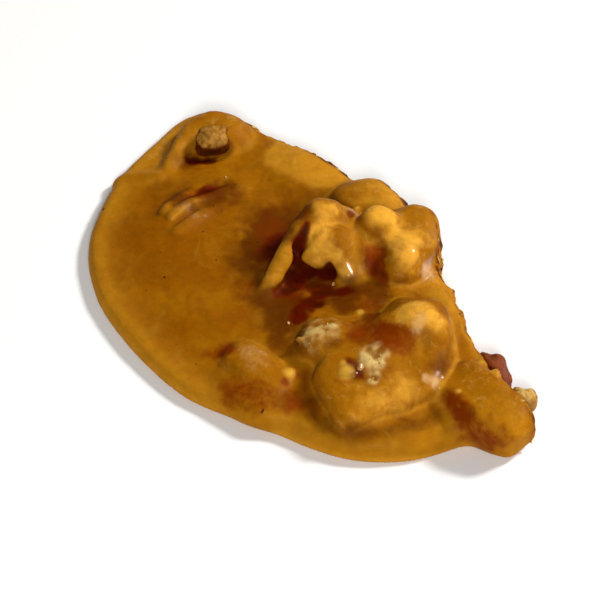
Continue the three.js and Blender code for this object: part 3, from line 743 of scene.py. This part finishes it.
class Shader:
    """A material's node tree, with short calls for the nodes that the materials use."""

    def __init__(self, name):
        self.material = bpy.data.materials.new(name)
        self.material.use_nodes = True
        self.tree = self.material.node_tree
        self.surface = self.tree.nodes["Principled BSDF"]
        self.place = self.tree.nodes.new("ShaderNodeTexCoord").outputs["Object"]

    def link(self, value, socket):
        if isinstance(value, bpy.types.NodeSocket):
            self.tree.links.new(value, socket)
        else:
            socket.default_value = value

    def layer(self, name):
        node = self.tree.nodes.new("ShaderNodeAttribute")
        node.attribute_name = name
        return node.outputs["Fac"]

    def noise(self, size_mm, detail=3.0, roughness=0.5, distortion=0.0, offset=0.0):
        shift = self.tree.nodes.new("ShaderNodeVectorMath")
        shift.operation = "ADD"
        shift.inputs[1].default_value = (offset, -offset, offset / 2)
        self.link(self.place, shift.inputs[0])
        node = self.tree.nodes.new("ShaderNodeTexNoise")
        node.inputs["Scale"].default_value = 1 / (size_mm * MM)
        node.inputs["Detail"].default_value = detail
        node.inputs["Roughness"].default_value = roughness
        node.inputs["Distortion"].default_value = distortion
        self.link(shift.outputs[0], node.inputs["Vector"])
        return node.outputs["Fac"]

    def ramp(self, value, low, high, start=0.0, end=1.0):
        node = self.tree.nodes.new("ShaderNodeMapRange")
        node.interpolation_type = "SMOOTHSTEP"
        for key, number in (("From Min", low), ("From Max", high), ("To Min", start), ("To Max", end)):
            node.inputs[key].default_value = number
        self.link(value, node.inputs["Value"])
        return node.outputs["Result"]

    def math(self, operation, a, b):
        node = self.tree.nodes.new("ShaderNodeMath")
        node.operation = operation
        self.link(a, node.inputs[0])
        self.link(b, node.inputs[1])
        return node.outputs[0]

    def mix(self, share, a, b, blend="MIX"):
        node = self.tree.nodes.new("ShaderNodeMix")
        node.data_type = "RGBA"
        node.blend_type = blend
        self.link(share, node.inputs["Factor"])
        self.link(a, node.inputs["A"])
        self.link(b, node.inputs["B"])
        return node.outputs["Result"]

    def uneven(self, name, size_mm, amount=0.5, offset=0.0):
        """A layer whose edge is broken up by noise; it stays zero where the layer is."""
        centred = self.math("SUBTRACT", self.noise(size_mm, 4, 0.6, 0.5, offset), 0.5)
        spread = self.math("MULTIPLY", centred, amount)
        share = self.ramp(self.math("ADD", self.layer(name), spread), 0.08, 0.92)
        return self.math("MULTIPLY", share, self.ramp(self.layer(name), 0.0, 0.2))

    def bump(self, height, strength, distance_mm, under=None):
        node = self.tree.nodes.new("ShaderNodeBump")
        node.inputs["Distance"].default_value = distance_mm * MM
        self.link(strength, node.inputs["Strength"])
        self.link(height, node.inputs["Height"])
        if under is not None:
            self.link(under, node.inputs["Normal"])
        return node.outputs["Normal"]

    def finish(self, **sockets):
        for name, value in sockets.items():
            self.link(value, self.surface.inputs[name.replace("_", " ")])
        return self.material


def candy_material():
    s = Shader("candy")
    broad = s.ramp(s.noise(17, 2, 0.5, 0.6), 0.36, 0.66)
    mottle = s.ramp(s.noise(4.2, 4, 0.55, 0.8, 0.3), 0.38, 0.68)
    veins = s.ramp(s.noise(6.0, 4, 0.55, 1.0, 0.7), 0.5, 0.72)
    tone = s.mix(broad, linear(140, 80, 0), linear(158, 98, 4))
    tone = s.mix(s.math("MULTIPLY", mottle, 0.4), tone, linear(122, 64, 0))
    tone = s.mix(s.math("MULTIPLY", veins, 0.28), tone, linear(172, 122, 30))
    tone = s.mix(s.math("MULTIPLY", s.layer("lump"), 0.4), tone, linear(160, 100, 8))
    # Paler candy near the rim where it thins, with a painted glow of light through the thin edge.
    tone = s.mix(s.math("MULTIPLY", s.layer("thin"), 0.5), tone, linear(184, 124, 14))
    # Painted golden highlight and glow along narrow ridges.
    tone = s.mix(s.ramp(s.layer("crest"), 0.08, 0.5, 0.0, 0.6), tone, linear(206, 144, 34))
    # Paler candy over the pecans, with painted light on the lit tops and faces.
    tone = s.mix(s.uneven("pale", 2.6, 0.7), tone, linear(226, 162, 50))
    rusty = s.math("MULTIPLY", s.ramp(s.noise(2.1, 4, 0.6, 0.8, 0.45), 0.5, 0.68), s.layer("lump"))
    tone = s.mix(s.math("MULTIPLY", rusty, 0.25), tone, linear(128, 54, 0))
    creamy = s.math("MULTIPLY", s.ramp(s.noise(1.7, 4, 0.6, 0.6, 0.85), 0.54, 0.7), s.layer("lump"))
    tone = s.mix(s.math("MULTIPLY", creamy, 0.18), tone, linear(222, 178, 92))
    # Painted brown shade between the pecans, over the darker thick candy.
    tone = s.mix(s.math("MULTIPLY", s.uneven("brown", 3.4, 0.6, 0.8), 0.9), tone, linear(86, 36, 0))
    # Orange-red candy, and painted orange shade on the shaded sides of lumps.
    tone = s.mix(s.uneven("orange_and_shade", 2.0, 1.0, 0.2), tone, linear(120, 46, 0))
    # Painted deep shade: red-brown, and deep red at its core, in the hollows.
    shade = s.uneven("dark", 3.4, 0.25, 0.4)
    tone = s.mix(s.ramp(shade, 0.0, 0.7, 0.0, 0.8), tone, linear(98, 24, 0))
    deep = s.mix(s.ramp(s.noise(2.6, 4, 0.6, 0.5, 0.9), 0.38, 0.62), linear(84, 9, 0), linear(54, 12, 0))
    tone = s.mix(s.ramp(shade, 0.35, 1.0, 0.0, 0.95), tone, deep)
    # Painted sheen: whitish painted reflection.
    tone = s.mix(s.uneven("painted_sheen", 1.3, 0.7, 0.6), tone, linear(212, 168, 110))
    tone = s.mix(s.ramp(s.noise(1.6, 5, 0.65, 0.0, 0.1), 0.34, 0.66, 0.0, 0.15), tone, linear(70, 30, 0))
    grain_tone = s.mix(s.ramp(s.noise(2.0, 4, 0.65), 0.36, 0.64), linear(106, 54, 2), linear(166, 108, 22))
    grain_tone = s.mix(s.ramp(s.noise(4.6, 3, 0.5, 0.4, 0.9), 0.52, 0.68), grain_tone, linear(72, 26, 0))
    flecks = s.ramp(s.noise(1.5, 3, 0.5, 0.0, 0.35), 0.62, 0.7, 0.0, 0.8)
    grain_tone = s.mix(flecks, grain_tone, linear(206, 174, 96))
    tone = s.mix(s.layer("grain"), tone, grain_tone)
    # Painted shade in the creases, weaker on the crumb patches.
    crease = s.ramp(s.layer("crease_shade"), 0.2, 0.75, 0.0, 0.5)
    crease = s.math("MULTIPLY", crease, s.ramp(s.layer("crumb"), 0.0, 1.0, 1.0, 0.3))
    tone = s.mix(crease, tone, linear(84, 14, 0))
    crumb_tone = s.mix(s.layer("knob"), linear(132, 80, 10), linear(236, 206, 130))
    tone = s.mix(s.math("MULTIPLY", s.uneven("crumb", 1.6, 0.9), 0.75), tone, crumb_tone)
    tone = s.mix(s.math("MULTIPLY", s.layer("bit"), 0.9), tone, linear(208, 158, 52))

    fine = s.noise(0.55, 3, 0.6)
    wavy = s.noise(2.4, 2, 0.5, 0.0, 0.5)
    sugar = s.noise(0.42, 4, 0.7, 0.0, 0.2)
    rough_side = s.math("MAXIMUM", s.layer("grain"), s.layer("crumb"))
    normal = s.bump(wavy, 0.4, 0.3)
    normal = s.bump(s.noise(1.1, 3, 0.6, 0.3, 0.15), s.math("MULTIPLY", s.layer("lump"), 0.25), 0.3, normal)
    normal = s.bump(fine, 0.2, 0.12, normal)
    normal = s.bump(sugar, s.math("MULTIPLY", rough_side, 0.6), 0.3, normal)
    satin = s.ramp(s.noise(5.5, 3, 0.5, 0.0, 0.4), 0.35, 0.7, 0.42, 0.58)
    satin = s.math("SUBTRACT", satin, s.math("MULTIPLY", s.layer("wet"), 0.2))
    roughness = s.math("ADD", satin, s.math("MULTIPLY", rough_side, 0.3))
    return s.finish(
        Base_Color=tone,
        Roughness=roughness,
        Normal=normal,
        Specular_IOR_Level=0.03,
        Coat_Weight=s.math("MULTIPLY", s.uneven("wet", 1.2, 0.8), 0.8),
        Coat_Roughness=0.14,
        Subsurface_Weight=0.22,
        Subsurface_Radius=(1.0, 0.38, 0.1),
        Subsurface_Scale=1.4 * MM,
    )


def pecan_material(name, skin_tone, flesh_tone, flesh_share):
    """Pecan skin and flesh; flesh_share is how much of the flesh layer shows."""
    s = Shader(name)
    streak = s.noise(1.4, 4, 0.6, 1.2)
    skin_mix = s.mix(s.ramp(streak, 0.35, 0.7), skin_tone, tuple(0.45 * c for c in skin_tone[:3]) + (1.0,))
    speckle = s.ramp(s.noise(0.8, 3, 0.6, 0.0, 0.4), 0.4, 0.62)
    flesh_mix = s.mix(speckle, flesh_tone, tuple(0.6 * c for c in flesh_tone[:3]) + (1.0,))
    flesh_mix = s.mix(s.math("MULTIPLY", s.layer("seam"), 0.65), flesh_mix, linear(110, 62, 16))
    share = s.math("MULTIPLY", s.layer("flesh"), flesh_share)
    tone = s.mix(share, skin_mix, flesh_mix)
    normal = s.bump(s.noise(0.5, 4, 0.65), 0.5, 0.2)
    return s.finish(
        Base_Color=tone,
        Roughness=s.ramp(streak, 0.3, 0.7, 0.42, 0.62),
        Normal=normal,
        Specular_IOR_Level=0.12,
        Subsurface_Weight=0.1,
        Subsurface_Radius=(1.0, 0.6, 0.3),
        Subsurface_Scale=0.8 * MM,
    )


def grain_material(name, light, dark, roughness, coat):
    s = Shader(name)
    tone = s.mix(s.ramp(s.noise(1.3, 3, 0.6), 0.38, 0.64), light, dark)
    return s.finish(
        Base_Color=tone,
        Roughness=roughness,
        Coat_Weight=coat,
        Coat_Roughness=0.1,
        Specular_IOR_Level=0.12,
        Normal=s.bump(s.noise(0.35, 3, 0.6), 0.4, 0.12),
        Subsurface_Weight=0.15,
        Subsurface_Radius=(1.0, 0.7, 0.4),
        Subsurface_Scale=0.6 * MM,
    )


# ------------------------------------------------------------------ pieces

candy_skin = candy_material()
points, normals, grain = make_candy(candy_skin)

brown_skin = pecan_material("pecan_skin", linear(98, 40, 2), linear(176, 122, 40), 0.9)
red_skin = pecan_material("pecan_red_skin", linear(116, 40, 8), linear(150, 80, 24), 0.35)
pale_flesh = pecan_material("pecan_flesh", linear(172, 120, 44), linear(206, 164, 84), 1.0)
cut_flesh = pecan_material("pecan_cut_flesh", linear(104, 48, 8), linear(200, 166, 98), 1.0)
LOOKS = {"pecan_left": brown_skin, "pecan_red": red_skin, "pecan_pale": pale_flesh}
SLOTS = {"pecan_left": "pecan_skin", "pecan_red": "pecan_skin"}
for name, shape in PECANS.items():
    pecan = make_pecan("bare_" + name, shape, LOOKS.get(name, cut_flesh), name in CUT_PECANS)
    SLOTS.get(name, "pecan_flesh")
    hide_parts(name)

pale_grain = grain_material("crumb_pale", linear(220, 192, 128), linear(164, 122, 52), 0.55, 0.0)
gold_grain = grain_material("crumb_gold", linear(216, 160, 50), linear(176, 112, 24), 0.4, 0.3)
dark_grain = grain_material("crumb_dark", linear(96, 34, 6), linear(70, 20, 4), 0.5, 0.2)
clear_bead = grain_material("bead_syrup", linear(206, 160, 100), linear(170, 110, 50), 0.12, 1.0)


def nearest(place):
    return points[np.argmin(np.linalg.norm(points - place, axis=1))]


def scatter(name, share, count, size_range, seed, material, sink=0.25, detail=1):
    """Grains on the candy where share, a value per point, is high."""
    seeded = np.random.default_rng(seed)
    chance = np.clip(share, 0, None)
    spots = seeded.choice(len(points), size=count, replace=False, p=chance / chance.sum())
    low, high = size_range
    sizes = low + (high - low) * seeded.random(count) ** 2.2
    places = points[spots] + normals[spots] * (sizes * (0.5 - sink))[:, None] * 0.5
    piece = grain_cloud(name, places, sizes, seed, material, detail=detail)
    return piece


in_patch = zone(points, CRUMBS, 0.4 + 0.3 * point_noise(points, 1.6, 71)) ** 2
scatter("crumbs_patch", in_patch, 12, (0.3, 0.7), 101, pale_grain, sink=0.5)
depth_below_top = pool_top(rim_distance(points[:, 0], points[:, 1])) - points[:, 2]
on_break = grain * smooth_step(0.2, 0.6, points[:, 2]) * smooth_step(0.8, 1.6, depth_below_top)
scatter("crumbs_break_pale", on_break, 150, (0.3, 1.3), 104, pale_grain, sink=0.4)
scatter("crumbs_break_gold", on_break, 200, (0.3, 1.1), 105, gold_grain, sink=0.4)
scatter("crumbs_break_dark", on_break, 50, (0.3, 1.0), 106, dark_grain, sink=0.4)
low_edge = grain * smooth_step(1.1, 0.5, points[:, 2])
scatter("crumbs_break_edge", low_edge, 120, (0.3, 1.0), 107, pale_grain)

SPECKS = [
    (-38.4, -31.2, 3.8, 0.9), (-20.6, -21.6, 4.9, 0.7), (-16.4, -33.0, 4.7, 0.8), (-23.8, -16.9, 5.2, 0.6),
    (-21.5, -30.0, 4.8, 0.6), (17.2, -37.9, 3.8, 1.0), (-14.0, -24.0, 4.9, 0.6), (-31.5, -30.0, 4.2, 0.5),
]
inside_rim = smooth_step(-2.0, -5.0, rim_distance(points[:, 0], points[:, 1]))
open_pool = inside_rim * smooth_step(0.8, 0.95, normals[:, 2])
scatter("specks_skin_dust", open_pool, 46, (0.16, 0.5), 108, dark_grain, sink=0.9)
speck_places = np.array([nearest(s[:3]) for s in SPECKS]) - (0, 0, 0.12)
specks = grain_cloud("specks_skin", speck_places, [s[3] for s in SPECKS], 109, dark_grain, flat=0.6)

BEADS = [
    (23.5, -22.9, 9.8, 1.5), (4.6, -10.0, 7.6, 0.7), (3.4, -12.6, 6.4, 0.7), (-28.4, -11.0, 5.0, 0.7),
    (6.4, -24.1, 5.8, 0.6),
]
bead_places = np.array([nearest(b[:3]) for b in BEADS])
beads = grain_cloud("beads_syrup", bead_places, [b[3] for b in BEADS], 110, clear_bead, flat=0.7, detail=3)
beads.data.polygons.foreach_set("use_smooth", [True] * len(beads.data.polygons))

# ------------------------------------------------------------------ floor, light and camera
# In metres. VIEW_AZIMUTH is about how far round from the front, the -Y side, the camera stands.

FLOOR_WIDTH = 3.0
EYE = Vector((0.2772, -0.2157, 0.3677))
AIM_HEIGHT = 0.004
LENS = 185
SENSOR = 36
SKY_STRENGTH = 0.17
VIEW_AZIMUTH = math.radians(50)
VIEW_RIGHT = Vector((math.cos(VIEW_AZIMUTH), math.sin(VIEW_AZIMUTH), 0))
VIEW_AWAY = Vector((-math.sin(VIEW_AZIMUTH), math.cos(VIEW_AZIMUTH), 0))
UP = Vector((0, 0, 1))


def make_floor():
    mesh = bpy.data.meshes.new("floor")
    half = FLOOR_WIDTH / 2
    corners = [(-half, -half, 0), (half, -half, 0), (half, half, 0), (-half, half, 0)]
    mesh.from_pydata(corners, [], [(0, 1, 2, 3)])
    floor = bpy.data.objects.new("floor", mesh)
    bpy.context.scene.collection.objects.link(floor)
    s = Shader("floor")
    tone = s.mix(s.noise(90, 2), linear(247, 247, 247), linear(243, 243, 243))
    mesh.materials.append(s.finish(Base_Color=tone, Roughness=0.6))
    floor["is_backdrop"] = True


def aim(thing, place, target):
    thing.location = place
    thing.rotation_mode = "QUATERNION"
    thing.rotation_quaternion = (Vector(target) - Vector(place)).to_track_quat("-Z", "Y")


def add_light(name, place, energy, size, color):
    light = bpy.data.lights.new(name, "AREA")
    light.energy = energy
    light.size = size
    light.color = color
    lamp = bpy.data.objects.new(name, light)
    bpy.context.scene.collection.objects.link(lamp)
    aim(lamp, place, (0, 0, 0.005))


def make_lights():
    add_light("key", VIEW_RIGHT * 0.62 + VIEW_AWAY * 0.3 + UP * 0.62, 8.8, 0.16, (1.0, 0.98, 0.95))
    add_light("front", VIEW_RIGHT * 0.05 - VIEW_AWAY * 0.72 + UP * 0.55, 5.2, 0.2, (1.0, 0.99, 0.97))
    world = bpy.data.worlds.new("studio")
    world.use_nodes = True
    sky = world.node_tree.nodes["Background"].inputs
    sky["Color"].default_value = (1.0, 0.99, 0.97, 1.0)
    sky["Strength"].default_value = SKY_STRENGTH
    bpy.context.scene.world = world


def make_camera():
    camera = bpy.data.cameras.new("camera")
    camera.sensor_width = SENSOR
    camera.lens = LENS
    camera.clip_start = 0.01
    eye = bpy.data.objects.new("camera", camera)
    bpy.context.scene.collection.objects.link(eye)
    low, high = (Vector(corner) for corner in cad_box)
    middle = (low + high) / 2
    aim(eye, EYE, Vector((middle.x, middle.y, AIM_HEIGHT)))
    bpy.context.scene.camera = eye


make_floor()
make_lights()
make_camera()
bpy.context.scene.view_settings.view_transform = "Standard"

boxes = {"cad": cad_box, "visual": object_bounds()}
{key: [[float(v) for v in corner] for corner in box] for key, box in boxes.items()}
